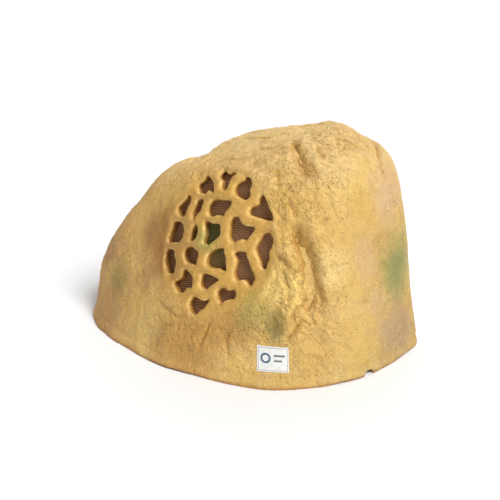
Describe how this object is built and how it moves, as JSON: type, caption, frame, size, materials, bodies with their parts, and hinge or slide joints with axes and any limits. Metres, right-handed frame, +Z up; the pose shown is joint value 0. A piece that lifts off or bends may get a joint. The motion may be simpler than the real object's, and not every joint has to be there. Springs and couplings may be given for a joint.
{
  "type": "rock-shaped outdoor loudspeaker",
  "caption": "Artificial-rock garden loudspeaker with a moulded rib grille, coaxial driver, line transformer and recessed base plate.",
  "frame": {"origin": "centre of the bounding box on the ground plane, under the rim", "axes": "+X to the right as one faces the grille, +Y away from the grille side, +Z up"},
  "size_m": [0.3848, 0.3207, 0.2485],
  "materials": {
    "moulded_stone_shell": "matte",
    "woven_cloth": "matte",
    "baffle_plastic": "matte",
    "foam": "matte",
    "black_steel": "satin",
    "surround_rubber": "matte",
    "cone_polypropylene": "satin",
    "spider_cloth": "matte",
    "former_film": "satin",
    "copper_wire": "gloss",
    "zinc_steel": "satin",
    "ferrite": "matte",
    "post_brass": "satin",
    "neodymium": "gloss",
    "dome_silk": "matte",
    "black_plastic": "satin",
    "fibre_board": "matte",
    "screw_steel": "satin",
    "ledge_plastic": "matte",
    "base_plastic": "matte",
    "lamination_steel": "satin",
    "winding_tape": "satin",
    "circuit_board": "satin",
    "inductor_copper": "gloss",
    "capacitor_sleeve": "gloss",
    "switch_phenolic": "satin",
    "lead_red": "satin",
    "lead_blue": "satin",
    "label_vinyl": "satin"
  },
  "bodies": {
    "cabinet": {"rock_shell": "moulded_stone_shell", "grille_cloth": "woven_cloth", "baffle_collar": "baffle_plastic", "baffle_ring": "baffle_plastic", "driver_gasket": "foam", "driver_basket": "black_steel", "woofer_surround": "surround_rubber", "woofer_spider": "spider_cloth", "top_plate": "zinc_steel", "ferrite_magnet": "ferrite", "pole_yoke": "zinc_steel", "tweeter_post": "post_brass", "tweeter_cup": "zinc_steel", "tweeter_magnet": "neodymium", "tweeter_faceplate": "black_plastic", "terminal_strip": "fibre_board", "base_ledge": "ledge_plastic", "base_seal": "foam", "base_plate": "base_plastic", "gland_body": "black_plastic", "gland_dome_nut": "black_plastic", "gland_seal": "foam", "gland_locknut": "black_plastic", "transformer_core": "lamination_steel", "transformer_bobbin": "winding_tape", "transformer_bracket": "zinc_steel", "crossover_board": "circuit_board", "crossover_inductor": "inductor_copper", "crossover_capacitor": "capacitor_sleeve", "tap_switch_body": "switch_phenolic", "tap_switch_nut": "zinc_steel", "driver_lead": "lead_red", "tap_lead": "lead_blue", "label_plate": "label_vinyl", "driver_screw_1": "screw_steel", "driver_screw_2": "screw_steel", "driver_screw_3": "screw_steel", "driver_screw_4": "screw_steel", "base_screw_1": "screw_steel", "base_screw_2": "screw_steel", "base_screw_3": "screw_steel", "base_screw_4": "screw_steel", "base_screw_5": "screw_steel", "base_screw_6": "screw_steel", "transformer_screw_1": "screw_steel", "board_screw_1": "screw_steel", "board_standoff_1": "post_brass", "transformer_screw_2": "screw_steel", "board_screw_2": "screw_steel", "board_standoff_2": "post_brass"},
    "woofer_moving": {"woofer_cone": "cone_polypropylene", "voice_coil_former": "former_film", "voice_coil": "copper_wire"},
    "tweeter_moving": {"tweeter_dome": "dome_silk"},
    "tap_knob": {"tap_selector_knob": "black_plastic"}
  },
  "joints": [
    {"name": "cone_slide", "type": "slide", "parent": "cabinet", "child": "woofer_moving", "axis": [0, -0.9272, 0.3746], "range_m": [-0.004, 0.004], "stiffness_N_per_m": 2000, "deforming": ["woofer_surround", "woofer_spider"]},
    {"name": "dome_slide", "type": "slide", "parent": "cabinet", "child": "tweeter_moving", "axis": [0, -0.9272, 0.3746], "range_m": [-0.0003, 0.0003], "stiffness_N_per_m": 3000},
    {"name": "tap_turn", "type": "hinge", "parent": "cabinet", "child": "tap_knob", "pos_m": [-0.018, 0.078, 0.012], "axis": [0, 0, -1], "range_deg": [-60, 60]}
  ]
}
